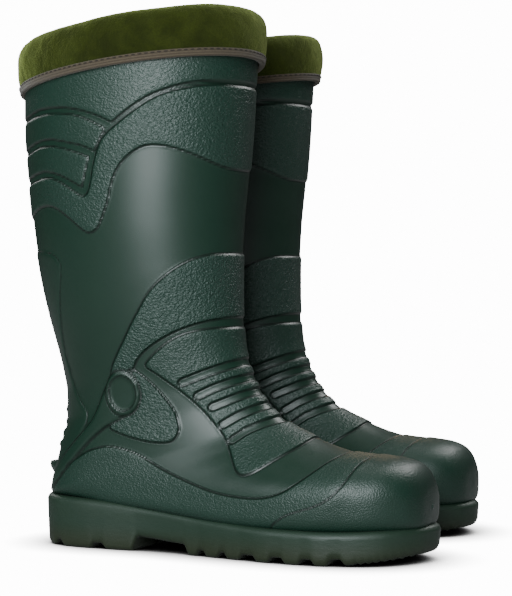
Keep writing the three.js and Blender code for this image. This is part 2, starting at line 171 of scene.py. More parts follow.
def round_off(points, passes=3):
    """Cuts the corners of a closed outline; a point given twice stays sharper."""
    p = np.asarray(points, float)
    for _ in range(passes):
        q = np.roll(p, -1, axis=0)
        p = np.stack([0.75 * p + 0.25 * q, 0.25 * p + 0.75 * q], 1).reshape(-1, 2)
    return p


FAR = 7.0


def depth_inside(points, outline, reach=FAR):
    """Distance in from the outline's edge, negative outside, no further than the reach."""
    found = np.full(len(points), -reach)
    low, high = outline.min(0) - reach, outline.max(0) + reach
    near = np.all((points > low) & (points < high), axis=1)
    p = points[near]
    best = np.full(len(p), 1e9)
    inside = np.zeros(len(p), bool)
    for a, b in zip(outline, np.roll(outline, -1, axis=0)):
        e = b - a
        size = e @ e
        if size < 1e-9:
            continue
        d = p - a
        t = np.clip(d @ e / size, 0, 1)
        gap = d - t[:, None] * e
        best = np.minimum(best, np.einsum("ij,ij->i", gap, gap))
        if e[1] != 0:
            level_with = (a[1] > p[:, 1]) != (b[1] > p[:, 1])
            inside ^= level_with & (p[:, 0] < a[0] + e[0] * d[:, 1] / e[1])
    far = np.sqrt(best)
    found[near] = np.clip(np.where(inside, far, -far), -reach, reach)
    return found


def along_bar(points, line, half_width, reach=FAR):
    """The same for a bar of even width with round ends, laid along a line."""
    line = np.asarray(line, float)
    best = np.full(len(points), 1e9)
    for a, b in zip(line[:-1], line[1:]):
        e = b - a
        d = points - a
        t = np.clip(d @ e / (e @ e), 0, 1)
        gap = d - t[:, None] * e
        best = np.minimum(best, np.einsum("ij,ij->i", gap, gap))
    return np.clip(half_width - np.sqrt(best), -reach, reach)


def ease(x):
    """A smooth step from 0 to 1."""
    x = np.clip(x, 0, 1)
    return x * x * (3 - 2 * x)


# Raised panels: outline in (forward, up), height above the polished ground, pebble strength,
# pebble fineness from 0 (bold) to 1 (fine).
PANELS = {
    "collar": ([(-60, 331), (-30, 332), (-4, 335), (12, 339), (27, 340), (40, 339.5),
                (52, 338), (70, 333.5), (85, 326.5), (85, 326.5), (93.5, 333.5), (111, 345.5),
                (128, 352.5), (143, 357), (164, 359), (230, 359), (230, 470), (-60, 470)],
               1.3, 0.8, 0.3),
    "upper_pad": ([(-60, 327), (-30, 329), (-2, 331.5), (14, 334), (31, 334.5), (52, 333),
                   (67, 327.5), (78.5, 321.5), (78.5, 321.5), (69.5, 305.5), (69.5, 305.5),
                   (59, 310), (44, 313), (28, 316), (13, 315), (-1, 311.5), (-30, 306),
                   (-60, 305)], 1.0, 0.7, 0.2),
    "lower_pad": ([(-60, 301), (-30, 302), (-1, 305.5), (13, 309.5), (26, 310), (37, 308.5),
                   (49, 305.5), (64, 300.5), (64, 300.5), (57.5, 278.5), (57.5, 278.5),
                   (47.5, 283.5), (34.5, 289), (19, 292), (3, 289), (-30, 283), (-60, 282)],
                  1.0, 0.7, 0.2),
    "wing": ([(76, 314), (85, 321.5), (96, 330), (111, 340.5), (123, 347), (137, 351),
              (151, 354), (164, 354.5), (230, 354), (230, 289), (175, 290), (162, 291),
              (156, 293.5), (146, 300), (134.5, 305.5), (122.5, 309), (111, 309.5),
              (102, 305.5), (93.5, 299), (87, 291), (82, 279.5), (79.5, 267.5), (74, 255),
              (70, 246.5), (63, 243), (56, 246), (44, 255.5), (30.5, 263.5), (20, 265.5),
              (8, 263), (-10, 256), (-30, 253), (-60, 252), (-60, 278), (-30, 278), (2.5, 283),
              (21.5, 286.5), (34, 283.5), (47, 276.5), (57.5, 270), (62.5, 272), (65.5, 279.5),
              (68, 292), (71, 302)], 1.3, 1.0, 0.1),
    "ankle": ([(230, 227), (152, 227.5), (145.5, 226), (135.5, 222), (124, 214), (113, 204.5),
               (105, 195), (99.5, 185.5), (92, 174), (85.5, 162.5), (78.5, 151.5), (73, 142),
               (70, 132), (80, 128), (90.5, 139), (92.5, 145.5), (99, 153), (111.5, 162),
               (126, 170), (140.5, 175.5), (152.5, 178.5), (159, 179.5), (230, 181)],
              1.3, 1.25, 0.0),
    "instep": ([(230, 171.5), (153, 171), (141.5, 169.5), (130, 166.5), (119.5, 161),
                (109, 152.5), (101, 144.5), (100, 141.5), (107.5, 137), (117, 130),
                (128.5, 121.5), (141, 110.5), (153, 97.5), (162, 87), (169.5, 75.5), (175, 67),
                (180, 62.5), (186, 62.5), (194, 66), (204.5, 73.5), (216.5, 82), (221, 86),
                (223, 90), (226, 120)], 1.3, 0.9, 0.2),
    "teardrop": ([(86, 142), (96.5, 135), (106.5, 126), (114.5, 116), (120.5, 108),
                  (124, 98.5), (124.5, 92), (121, 85.5), (114.5, 83.5), (101, 84), (86, 87),
                  (74.5, 90.5), (66, 94), (72, 108), (84, 126)], 1.2, 1.1, 0.0),
    "side": ([(12, 45), (26, 59.5), (40, 70), (53.5, 77), (67.5, 79.3), (77.5, 78),
              (91.5, 74.5), (108.5, 65.5), (128, 58), (147, 52), (165.5, 47.5), (189, 45.8),
              (203.5, 46.5), (217.5, 50.5), (229, 58), (238, 65), (247, 73.5), (254, 80),
              (262, 95), (380, 95), (380, 0), (-20, 0), (0, 36)], 1.0, 0.8, 0.5),
}
# The toe cap covers the front of the side panel and is almost smooth.
TOE_CAP = [(208.5, 0), (208.5, 25), (211, 28), (215.5, 31), (222.5, 35.5), (233, 39),
           (245, 42.5), (256, 48.5), (263.5, 56.5), (267.5, 62.5), (270, 70), (273, 76),
           (275, 95), (340, 95), (340, 0)]
# Five polished flex grooves run across the instep panel.
FLEX_GROOVES = [
    [(127, 129.5), (143.5, 136.5), (156, 141.5), (178, 149)],
    [(138.5, 119.5), (150, 125.5), (161, 130), (184, 137)],
    [(149, 111), (160, 116), (169, 120), (192, 128)],
    [(158, 98), (168, 104.5), (177, 109), (200, 118)],
    [(167, 86.5), (176, 93.5), (186.5, 98.5), (208, 106)],
]
GROOVE_HALF = 3.1
GROOVE_DEPTH = 1.7
# The back stay stands behind this edge, and the strap runs from the heel up to the boss.
BACK_STAY = [(-60, 230), (9.5, 229), (22, 227.5), (28.5, 223.5), (31.5, 216), (26, 195),
             (23.5, 172), (23.5, 148.5), (28, 138), (32.5, 123.5), (40, 112), (49, 102),
             (38, 84), (20, 62), (0, 36), (-60, 36)]
STRAP = [(66.5, 127), (59, 111), (52.5, 98.5), (40, 86), (24, 70), (8, 52), (2, 44), (8, 40),
         (16, 48), (27, 59.5), (38, 71), (50.5, 84), (64, 94.5), (71.5, 98.5), (83.5, 104),
         (92, 111), (96, 121), (90, 134), (78, 138)]
BOSS_AT = (80.5, 121)
BOSS_HALF = (14, 17.2)
HEEL_RIDGES = (105, 96, 87, 78)
LEDGE_HEIGHT = 52.5
LEDGE_REACH, LEDGE_HALF_WIDE = 9.0, 17
RIDGE_RISE, RIDGE_HALF = 1.3, 2.6
PANEL_EDGE = 2.8
TOE_CAP_RISE, TOE_CAP_SMOOTHER = 0.8, 0.42
STAY_RISE, STAY_EDGE = 0.9, 2.0
STRAP_RISE, STRAP_EDGE = 2.3, 2.2
BOSS_RISE, BOSS_DISH, BOSS_RIM, BOSS_EDGE = 3.9, 1.7, 2.4, 15

ROWS, HALF = 330, 118
TOE_TIP = 24.96
SMOOTHING_PASSES = 24
rings, row_at = boot_rings(ROWS, HALF, 0, TOE_TIP)
for _ in range(SMOOTHING_PASSES):
    rings = 0.5 * rings + 0.25 * (np.roll(rings, 1, axis=1) + np.roll(rings, -1, axis=1))
normals = outward(rings)
flat_view = rings[..., [0, 2]].reshape(-1, 2)
ahead, above = flat_view.T
across = rings[..., 1].ravel()

height = np.zeros(len(flat_view))
edge = np.full(len(flat_view), -FAR)
grain = np.zeros(len(flat_view))
fine = np.zeros(len(flat_view))
# line: distance to the crease lines, along which the foam's finish paints shade
line = np.full(len(flat_view), FAR)
for outline, rise, strength, fineness in PANELS.values():
    inside = depth_inside(flat_view, round_off(outline))
    height = np.maximum(height, rise * ease(inside / PANEL_EDGE + 0.5))
    line = np.minimum(line, np.abs(inside + 0.5))
    covered = inside > edge
    grain = np.where(covered, strength, grain)
    fine = np.where(covered, fineness, fine)
    edge = np.maximum(edge, inside)

toe = depth_inside(flat_view, round_off(TOE_CAP))
height += TOE_CAP_RISE * ease(toe / PANEL_EDGE + 0.5)
line = np.minimum(line, np.abs(toe + 0.5))
grain = grain * (1 - TOE_CAP_SMOOTHER * ease(toe + 0.5))
fine = np.maximum(fine, ease(toe + 0.5))

groove = np.full(len(flat_view), -FAR)
for bar in FLEX_GROOVES:
    groove = np.maximum(groove, along_bar(flat_view, bar, GROOVE_HALF))
height -= GROOVE_DEPTH * ease(groove / 2.2 + 0.35)
line = np.minimum(line, np.abs(groove - 0.2))

stay = depth_inside(flat_view, round_off(BACK_STAY))
height = np.maximum(height, STAY_RISE * ease(stay / STAY_EDGE + 0.5))
strap = depth_inside(flat_view, round_off(STRAP))
height = np.maximum(height, STRAP_RISE * ease(strap / STRAP_EDGE + 0.5))

# the boss stands on the outer side only, a rim round a slightly sunk disc
boss = np.hypot((ahead - BOSS_AT[0]) / BOSS_HALF[0], (above - BOSS_AT[1]) / BOSS_HALF[1])
boss_inside = np.where(across > 0, (1 - boss) * BOSS_EDGE, -FAR)
boss_top = BOSS_RISE * ease(boss_inside / BOSS_RIM + 0.4)
boss_top -= BOSS_DISH * ease((boss_inside - BOSS_RIM) / 1.8)
around_boss = np.where(boss_inside > 1, 0, height)
height = np.where(boss_inside > -1, np.maximum(boss_top, around_boss), height)

# the crease lines follow the strap, the stay and the boss, and none crosses another; the foam's
# finish paints shade along them
line = np.where(strap > 0.8, FAR, line)
line = np.minimum(line, np.where(strap > -2.5, np.abs(strap + 0.6), np.abs(stay + 0.5) + 0.25))
line = np.where(boss_inside > 0, FAR, line)
boss_crease = np.minimum(np.abs(boss_inside + 0.7), np.abs(boss_inside - 3.2) + 0.2)
line = np.minimum(line, boss_crease)
polished = np.maximum(np.maximum(strap, stay), boss_inside)
edge = np.minimum(edge, -np.maximum(polished, groove))

# four short ridges and the ledge on the back of the heel
behind = ease((22 - ahead) / 8)
for ridge in HEEL_RIDGES:
    height += RIDGE_RISE * behind * ease(1.3 - np.abs(above - ridge) / RIDGE_HALF)
ledge = ease(1.35 - np.abs(across) / LEDGE_HALF_WIDE) * (ahead < 30)
shelf = ease((above - LEDGE_HEIGHT + 4) / 11) * ease((LEDGE_HEIGHT + 12.5 - above) / 3.5)
height += LEDGE_REACH * ledge * shelf

# the pads lose their pebbling toward the back, where the mould was polished
on_pads = (above > 240) & (above < 336) & (ahead < 40)
grain = np.where(on_pads, grain * (0.3 + 0.7 * ease((ahead - 5) / 35)), grain)
height *= ease((row_at.repeat(2 * HALF) + 0.02) / 0.2)

skin = rings + normals * height.reshape(ROWS, -1)[..., None]
WALL = 6.0
LIP = 1.6
LIP_UP = np.array([0, 0, 0.8])
keep = np.concatenate([np.arange(0, 9, 2), np.arange(16, ROWS - 26, 8)])
inner = rings[keep] - normals[keep] * WALL
inner[:, :, 2] = np.minimum(inner[:, :, 2], rings[keep][:, :, 2])
lip_out = rings[0] - normals[0] * LIP * 0.6 + LIP_UP
lip_in = rings[0] - normals[0] * (WALL - LIP * 0.6) + LIP_UP
shell_rings = np.concatenate([inner[::-1], lip_in[None], lip_out[None], skin])


def sheet_faces(rows, columns, start=0):
    """Quads joining rings of points that close round."""
    r, c = np.meshgrid(np.arange(rows - 1), np.arange(columns), indexing="ij")
    n = (c + 1) % columns
    return (start + np.stack([r * columns + c, r * columns + n, (r + 1) * columns + n,
                              (r + 1) * columns + c], -1)).reshape(-1, 4)


def end_caps(rows, columns):
    """The two faces that close a stack of rings at its ends."""
    last = (rows - 1) * columns
    return [list(range(columns))[::-1], list(range(last, last + columns))]


def piece(label, points, faces, material, caps=(), marks=None):
    """A smooth-shaded mesh from points in metres, with its own values for the finish."""
    mesh = bpy.data.meshes.new(label)
    polygons = [tuple(f) for f in faces.tolist()] + [tuple(int(i) for i in c) for c in caps]
    mesh.from_pydata(points.reshape(-1, 3).tolist(), [], polygons)
    mesh.validate()
    mesh.polygons.foreach_set("use_smooth", np.ones(len(mesh.polygons), bool))
    for mark, values in (marks or {}).items():
        data = mesh.attributes.new(mark, "FLOAT", "POINT").data
        data.foreach_set("value", np.asarray(values, np.float32))
    obj = bpy.data.objects.new(label, mesh)
    bpy.context.scene.collection.objects.link(obj)
    mesh.materials.append(material)
    mesh.update()
    return obj


def facing_out(faces, mirrored):
    """The same faces, turned over unless they are mirrored already."""
    return faces if mirrored else faces[:, ::-1]


# the foam's finish is built from two groups of nodes, and the outsoles share the second
def new_group(label, inputs, outputs):
    """An empty group with its inputs' first values, its input node and its output node."""
    tree = bpy.data.node_groups.new(label, "ShaderNodeTree")
    for name, value in inputs.items():
        socket = tree.interface.new_socket(name, in_out="INPUT", socket_type="NodeSocketFloat")
        socket.default_value = value
    for name in outputs:
        tree.interface.new_socket(name, in_out="OUTPUT", socket_type="NodeSocketFloat")
    return tree, tree.nodes.new("NodeGroupInput"), tree.nodes.new("NodeGroupOutput")


def feed(tree, value, socket):
    """Gives an input a number, a colour or a link from an output."""
    if isinstance(value, tuple):
        socket.default_value = value if socket.type == "VECTOR" else (*value, 1)
    elif isinstance(value, (int, float)):
        socket.default_value = value
    else:
        tree.links.new(value, socket)


def feed_all(tree, made, **values):
    """Feeds a node's inputs by name; an underscore stands for a space."""
    for key, value in values.items():
        feed(tree, value, made.inputs[key.replace("_", " ")])


def node(tree, kind, **values):
    """A node with its settings and, for keys that name an input, what is fed to it."""
    made = tree.nodes.new("ShaderNode" + kind)
    for key, value in values.items():
        if hasattr(made, key):
            setattr(made, key, value)
        else:
            feed(tree, value, made.inputs[key])
    return made


def sums(tree, operation, *values):
    """A Math node; each value is a number or an output socket."""
    made = node(tree, "Math", operation=operation)
    for value, socket in zip(values, made.inputs):
        feed(tree, value, socket)
    return made.outputs[0]


def place_map(tree, scale=(1, 1, 1)):
    """The object's own coordinates, in metres, times a scale."""
    where = node(tree, "TexCoord")
    return node(tree, "Mapping", Vector=where.outputs["Object"], Scale=scale).outputs[0]


def fit(tree, value, low, high, to_low=0.0, to_high=1.0, soft=False):
    """Spreads a value's range over another one, and stops at its ends."""
    made = node(tree, "MapRange", interpolation_type="SMOOTHSTEP" if soft else "LINEAR")
    feed_all(tree, made, Value=value, From_Min=low, From_Max=high, To_Min=to_low, To_Max=to_high)
    return made.outputs[0]


BOLD_PER_METRE = (520, 520, 620)
FINE_PER_METRE = (900, 900, 1000)
WRINKLES_PER_METRE = (430, 430, 560)
pebble, pebble_in, pebble_out = new_group("Pebbled mould grain", {"Fineness": 0.0}, ["Height"])
bold_map = place_map(pebble, BOLD_PER_METRE)
bold_warp = node(pebble, "TexNoise", Vector=bold_map, Scale=0.35, Detail=2.0)
shift = node(pebble, "VectorMath", operation="MULTIPLY_ADD")
for value, socket in zip((bold_warp.outputs["Color"], (2.2, 2.2, 2.2), bold_map), shift.inputs):
    feed(pebble, value, socket)
bold = node(pebble, "TexVoronoi", feature="SMOOTH_F1", Vector=shift.outputs[0], Scale=1.0,
            Smoothness=0.6, Randomness=1.0)
wrinkle = node(pebble, "TexNoise", Vector=place_map(pebble, WRINKLES_PER_METRE), Scale=1.0,
               Detail=3.0, Roughness=0.55, Distortion=0.6)
bold_mix = sums(pebble, "ADD", sums(pebble, "MULTIPLY", bold.outputs["Distance"], -0.75),
                sums(pebble, "MULTIPLY", wrinkle.outputs["Fac"], 1.1))
small = node(pebble, "TexVoronoi", feature="SMOOTH_F1", Vector=place_map(pebble, FINE_PER_METRE),
             Scale=1.0, Smoothness=0.4, Randomness=1.0)
small_mix = sums(pebble, "MULTIPLY", small.outputs["Distance"], -0.8)
chosen = node(pebble, "Mix", data_type="FLOAT")
for i, value in ((0, pebble_in.outputs["Fineness"]), (2, bold_mix), (3, small_mix)):
    feed(pebble, value, chosen.inputs[i])
feed_all(pebble, pebble_out, Height=chosen.outputs[0])

handled, handled_in, handled_out = new_group("Cloudy handling marks", {"Size": 9.0},
                                             ["Tone", "Speck"])
cloud = node(handled, "TexNoise", Vector=place_map(handled), Scale=handled_in.outputs["Size"],
             Detail=4.0, Roughness=0.6)
speck = node(handled, "TexNoise", Vector=place_map(handled), Scale=1600.0, Detail=1.0)
feed_all(handled, handled_out, Tone=fit(handled, cloud.outputs["Fac"], 0.3, 0.7),
         Speck=fit(handled, speck.outputs["Fac"], 0.3, 0.7))


def blank(label):
    """A new material with its node tree and its shader."""
    material = bpy.data.materials.new(label)
    material.use_nodes = True
    tree = material.node_tree
    return material, tree, tree.nodes["Principled BSDF"]


def use_group(tree, group, **values):
    """A group placed in a material with its own values."""
    made = node(tree, "Group", node_tree=group)
    feed_all(tree, made, **values)
    return made


def blend_colors(tree, amount, first, second):
    """A Mix node; each value is a number, a colour or an output socket."""
    made = node(tree, "Mix", data_type="RGBA")
    for i, value in ((0, amount), (6, first), (7, second)):
        feed(tree, value, made.inputs[i])
    return made.outputs[2]


def mark_of(tree, label):
    """A value that the mesh carries at each point."""
    return node(tree, "Attribute", attribute_name=label).outputs["Fac"]


def raise_by(tree, bump, distance, strength=1.0, under=None):
    """A Bump node over the one under it."""
    made = node(tree, "Bump", Height=bump, Distance=distance, Strength=strength)
    if under is not None:
        tree.links.new(under, made.inputs["Normal"])
    return made.outputs["Normal"]


FOAM_GREEN = (0.0062, 0.0240, 0.0140)
CREASE_SHADE_GREEN = (0.0015, 0.0060, 0.0035)
FOAM_PALE = (0.0085, 0.0290, 0.0180)
ETCHED_TONE_AND_SHEEN = (0.0140, 0.0400, 0.0290)
SATIN = 0.35
PEBBLE_DEPTH, STEP_DEPTH, CREASE_DEPTH, SPECK_DEPTH = 0.0009, 0.0005, 0.0006, 0.00004

foam, tree, shader = blank("moulded green foam")
marks = use_group(tree, handled, Size=7.0)
edge_in = mark_of(tree, "edge")
mask = fit(tree, edge_in, -0.1, 1.1, soft=True)
pebbles = use_group(tree, pebble, Fineness=mark_of(tree, "fine"))
etched = sums(tree, "MULTIPLY", mask, mark_of(tree, "grain"))
softened = sums(tree, "SUBTRACT", 1.0, sums(tree, "MULTIPLY", mark_of(tree, "fine"), 0.3))
relief = sums(tree, "MULTIPLY", pebbles.outputs["Height"],
              sums(tree, "MULTIPLY", softened, etched))
# the crease lines get a bump and painted shade: their colour is mixed toward a deep green
crease_line_and_shade = fit(tree, mark_of(tree, "line"), 0.3, 1.5, 1.0, 0.0, soft=True)
body_color = blend_colors(tree, marks.outputs["Tone"], FOAM_GREEN, FOAM_PALE)
# the etched zones are mixed paler: partly the etched foam's own tone, partly painted sheen for
# their broad soft highlight
etched_tone_with_sheen = blend_colors(tree, sums(tree, "MULTIPLY", etched, 0.5), body_color, ETCHED_TONE_AND_SHEEN)
crease_shaded_color = blend_colors(tree, sums(tree, "MULTIPLY", crease_line_and_shade, 0.85), etched_tone_with_sheen, CREASE_SHADE_GREEN)
rough = sums(tree, "ADD", sums(tree, "MULTIPLY", marks.outputs["Tone"], 0.05),
             sums(tree, "ADD", sums(tree, "MULTIPLY", etched, 0.06), SATIN))
step_up = raise_by(tree, fit(tree, edge_in, -0.9, 0.9, soft=True), STEP_DEPTH, 0.5)
creased = raise_by(tree, sums(tree, "SUBTRACT", 1.0, crease_line_and_shade), CREASE_DEPTH, 0.55, step_up)
grained = raise_by(tree, relief, PEBBLE_DEPTH, 0.8, creased)
speckled = raise_by(tree, marks.outputs["Speck"], SPECK_DEPTH, 0.5, grained)
feed_all(tree, shader, Base_Color=crease_shaded_color, Roughness=rough, Specular_IOR_Level=0.5,
         Normal=speckled)

column_count = 2 * HALF
unmarked = (len(shell_rings) - ROWS) * column_count
marks_of_upper = {
    "edge": np.concatenate([np.full(unmarked, -FAR), edge]),
    "grain": np.concatenate([np.zeros(unmarked), grain]),
    "fine": np.concatenate([np.zeros(unmarked), fine]),
    "line": np.concatenate([np.full(unmarked, FAR), line]),
}
for name in SIDES:
    faces = facing_out(sheet_faces(len(shell_rings), column_count), name == "left")
    caps = end_caps(len(shell_rings), column_count)
    upper = piece(name + "_foam_upper", to_pair(shell_rings, name), faces, foam, caps,
                  marks_of_upper)
    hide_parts(name + "_upper")
    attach(upper, name + "_boot")

# ---- OUTSOLES ---------------------------------------------------------------
# One thick unit of denser foam under each upper, bonded on around the feather line. Its wall
# is smooth and slightly flared, and grooves cut right across it leave the lugs.
OUTLINE = {
    "outer": [(-2, 0), (0, 15), (8, 31), (24, 41), (55, 44.5), (95, 44), (135, 47),
              (175, 53.5), (212, 59), (240, 59.5), (265, 54.5), (289, 44.5), (305, 30),
              (315.5, 11), (318.5, -4)],
    "inner": [(318.5, -4), (314.5, -19), (303, -32.5), (286, -44), (262, -51), (238, -53.5),
              (210, -51.5), (175, -45), (135, -40), (95, -40.5), (55, -42.5), (24, -40),
              (8, -31), (0, -15), (-2, 0)],
}
SOLE_TOP = [(-2, 40), (60, 37.5), (110, 33), (160, 28), (210, 25.2), (250, 24.8), (290, 26),
            (317, 27.5)]
SOLE_BOTTOM = [(-2, 2), (10, 0), (235, 0), (265, 1), (290, 3.4), (317, 8)]
UPPER_UNDER = [(-2, 34), (2.5, 33), (38, 30), (82, 27), (126, 23), (166, 20.5), (202, 18.5),
               (234, 18), (261, 18), (281, 19), (317, 21)]
LUG_GROOVES = [(17.5, 24.5), (52, 63), (145, 152), (164, 171), (183.5, 196.5), (208.5, 220),
               (233, 243.5), (255, 265)]
LUG_DEPTH = 4.2
ARCH = (89, 135)
TOE_TEETH = (272, 311, 5.0, 0.8)


def level(table, s):
    """Height at each distance forward, from a table of both."""
    table = np.asarray(table, float)
    return glide(s, table[:, 0], table[:, 1])


def sole_ring(count):
    """The outsole's outline in plan, evenly spread, with its unit normals."""
    p = np.array(OUTLINE["outer"] + OUTLINE["inner"][1:-1], float)
    p = np.concatenate([p[-3:], p, p[:4]])
    chord = np.concatenate([[0], np.cumsum(np.hypot(*np.diff(p, axis=0).T))])
    fine_at = np.linspace(chord[3], chord[-4], 4000)
    curve = glide(fine_at, chord, p)
    arc = np.concatenate([[0], np.cumsum(np.hypot(*np.diff(curve, axis=0).T))])
    goal = np.linspace(0, arc[-1], count, endpoint=False)
    ring = np.stack([np.interp(goal, arc, curve[:, 0]), np.interp(goal, arc, curve[:, 1])], -1)
    along = np.roll(ring, -2, axis=0) - np.roll(ring, 2, axis=0)
    normal = np.stack([-along[:, 1], along[:, 0]], -1)
    normal /= np.linalg.norm(normal, axis=1, keepdims=True)
    return ring, normal


def tread(s):
    """How far the grooves rise above the bottom of the sole."""
    rise = np.zeros_like(s)
    for start, end in LUG_GROOVES:
        wall = ease((s - start + 2.2) / 4.6) * ease((end + 2.2 - s) / 4.6)
        rise = np.maximum(rise, LUG_DEPTH * wall)
    roof = np.interp(s, ARCH, (11.5, 7.5))
    rise = np.maximum(rise, roof * ease((s - ARCH[0] + 3) / 7) * ease((ARCH[1] + 3 - s) / 5))
    start, end, pitch, deep = TOE_TEETH
    teeth = ease(1.3 - 2.6 * np.abs((s - start) / pitch % 1 - 0.5))
    return np.maximum(rise, deep * teeth * (s > start) * (s < end))


SOLE_POINTS = 620
FEATHER_DROP = 0.3
TOP_EDGE = ((-5.5, -0.4), (-3.6, -0.3), (-2.2, 0.1), (-1.1, 0.7), (-0.3, 1.6), (0.35, 2.7),
            (0.75, 3.9))
WALL_SHARES = (0.76, 0.62, 0.48, 0.34, 0.22)
BOTTOM_EDGE = ((-0.6, 3.5), (-1.0, 2.4), (-1.8, 1.2), (-2.9, 0.4), (-4.3, 0.0))
plan, plan_normal = sole_ring(SOLE_POINTS)
if np.sum(plan_normal * (plan - plan.mean(0))) < 0:
    plan_normal = -plan_normal
spine = np.stack([np.clip(plan[:, 0], 26, 286), np.full(SOLE_POINTS, 1.5)], -1)
sole_rows = []


def sole_row(grow, toward_spine, height_of):
    """Adds one row round the outline, grown outward and drawn in toward the middle."""
    flat = plan + plan_normal * grow
    flat = flat + (spine - flat) * toward_spine
    sole_rows.append(np.column_stack([flat, height_of(flat[:, 0])]))


def top_at(drop):
    """A height below the top edge."""
    return lambda s: level(SOLE_TOP, s) - FEATHER_DROP - drop


def wall_at(share, lift=0.0):
    """A height part of the way up the wall from the tread."""
    def height_of(s):
        foot = level(SOLE_BOTTOM, s) + tread(s) + lift
        return foot * (1 - share) + (level(SOLE_TOP, s) - FEATHER_DROP) * share
    return height_of


for inward in (0.96, 0.75, 0.5, 0.3):
    sole_row(0, inward, lambda s: level(UPPER_UNDER, s))
sole_row(-9, 0, lambda s: level(UPPER_UNDER, s) + 1.0)
sole_row(-7, 0, lambda s: 0.5 * level(UPPER_UNDER, s) + 0.5 * level(SOLE_TOP, s) - 1)
for grow, drop in TOP_EDGE:
    sole_row(grow, 0, top_at(drop))
for share in WALL_SHARES:
    sole_row(1.0 - 1.5 * (1 - share), 0, wall_at(share))
for grow, lift in BOTTOM_EDGE:
    sole_row(grow, 0, wall_at(0.0, lift))
for inward in (0.12, 0.24, 0.38, 0.52, 0.66, 0.8, 0.96):
    sole_row(BOTTOM_EDGE[-1][0], inward, wall_at(0.0))
sole_rows = np.array(sole_rows)

SOLE_GREEN = (0.0105, 0.0290, 0.0165)
SOLE_OLIVE = (0.0190, 0.0220, 0.0070)
SCUFFED = (0.030, 0.043, 0.028)
FLOW_PER_METRE = (140, 140, 420)
sole_foam, tree, shader = blank("dense outsole foam")
marks = use_group(tree, handled, Size=12.0)
parts = node(tree, "SeparateXYZ", Vector=place_map(tree))
low_down = fit(tree, parts.outputs["Z"], 0.003, 0.022, 1.0, 0.0, soft=True)
tinted = blend_colors(tree, sums(tree, "MULTIPLY", low_down, 0.75), SOLE_GREEN, SOLE_OLIVE)
toned = blend_colors(tree, sums(tree, "MULTIPLY", marks.outputs["Tone"], 0.2), tinted, SCUFFED)
rough = fit(tree, marks.outputs["Tone"], 0, 1, 0.46, 0.58)
flow = node(tree, "TexNoise", Vector=place_map(tree, FLOW_PER_METRE), Scale=1.0, Detail=2.0)
soft_skin = raise_by(tree, flow.outputs["Fac"], 0.0004, 0.35)
specked = raise_by(tree, marks.outputs["Speck"], 0.00006, 0.6, soft_skin)
feed_all(tree, shader, Base_Color=toned, Roughness=rough, Normal=specked)

for name in SIDES:
    faces = facing_out(sheet_faces(len(sole_rows), SOLE_POINTS), name == "right")
    caps = [cap[::-1] for cap in end_caps(len(sole_rows), SOLE_POINTS)]
    outsole = piece(name + "_lugged_outsole", to_pair(sole_rows, name), faces, sole_foam, caps)
    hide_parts(name + "_outsole")
    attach(outsole, name + "_boot")

# ---- LINER CUFFS ------------------------------------------------------------
# The top of the pull-out liner, a dense cut-pile plush, folded outward over the foam edge.
# It is fullest half way down and pinched at the bottom, where the tape holds it.
CUFF_PROFILE = [(-15.3, -13.7), (-7.3, -13.7), (-6.9, -3), (-6.5, 1.4), (-3.25, 2.1),
                (0.3, 1.4), (0.9, -6), (0.9, -18), (0.9, -27.2), (2.4, -27.8), (3.5, -27.0),
                (5.0, -22.6), (6.3, -16), (6.7, -8), (6.1, -0.5), (4.4, 5.0), (1.4, 8.6),
                (-2.6, 10.3), (-7, 10.3), (-11.5, 8.2), (-14.4, 4), (-15.5, -3)]
RIM_POINTS = 220


def rim_frame(count):
    """Points of the foam edge with their outward directions in plan."""
    edge_rings, _ = boot_rings(2, count // 2, 0, 0.02)
    rim = edge_rings[0]
    along = np.roll(rim, -1, axis=0) - np.roll(rim, 1, axis=0)
    out = np.stack([-along[:, 1], along[:, 0], np.zeros(count)], -1)
    out /= np.linalg.norm(out, axis=1, keepdims=True)
    if np.sum(out * (rim - rim.mean(0))) < 0:
        out = -out
    return rim, out


def closed_curve(points, count):
    """A closed curve through points, as evenly spread points."""
    p = np.asarray(points, float)
    a, b, c, d = np.roll(p, 1, 0), p, np.roll(p, -1, 0), np.roll(p, -2, 0)
    t = np.linspace(0, 1, 12, endpoint=False)[None, :, None]
    a, b, c, d = (x[:, None, :] for x in (a, b, c, d))
    fine_points = 0.5 * (2 * b + (c - a) * t + (2 * a - 5 * b + 4 * c - d) * t * t
                         + (3 * b - a - 3 * c + d) * t ** 3)
    loop = fine_points.reshape(-1, p.shape[1])
    loop = np.concatenate([loop, loop[:1]])
    arc = np.concatenate([[0], np.cumsum(np.linalg.norm(np.diff(loop, axis=0), axis=1))])
    goal = np.linspace(0, arc[-1], count, endpoint=False)
    return np.stack([np.interp(goal, arc, loop[:, i]) for i in range(p.shape[1])], -1)


def swept(profile, count, puff=None):
    """A profile of (outward, up) points carried round the foam edge."""
    rim, out = rim_frame(count)
    prof = np.asarray(profile, float)
    body = rim[None] + out[None] * prof[:, :1, None] + np.array([0, 0, 1.0]) * prof[:, 1:, None]
    if puff is not None:
        body = body + puff(body, out)
    return body


def soft_lumps(body, out):
    """Small unevenness of hand-turned plush, mostly on the outer face."""
    turn = np.linspace(0, 2 * np.pi, body.shape[1], endpoint=False)[None]
    row = np.linspace(0, 2 * np.pi, body.shape[0], endpoint=False)[:, None]
    lump = (0.35 * np.sin(5 * turn + 1.3 * np.sin(row)) + 0.3 * np.sin(9 * turn + 2 * row + 1)
            + 0.25 * np.sin(17 * turn - 3 * row + 2) + 0.2 * np.sin(31 * turn + 5 * row))
    upward = 0.45 * np.sin(3 * turn + 0.4) + 0.4 * np.sin(7 * turn + 2)
    return out[None] * lump[..., None] * 0.7 + np.array([0, 0, 1.0]) * (upward * 0.7)[..., None]


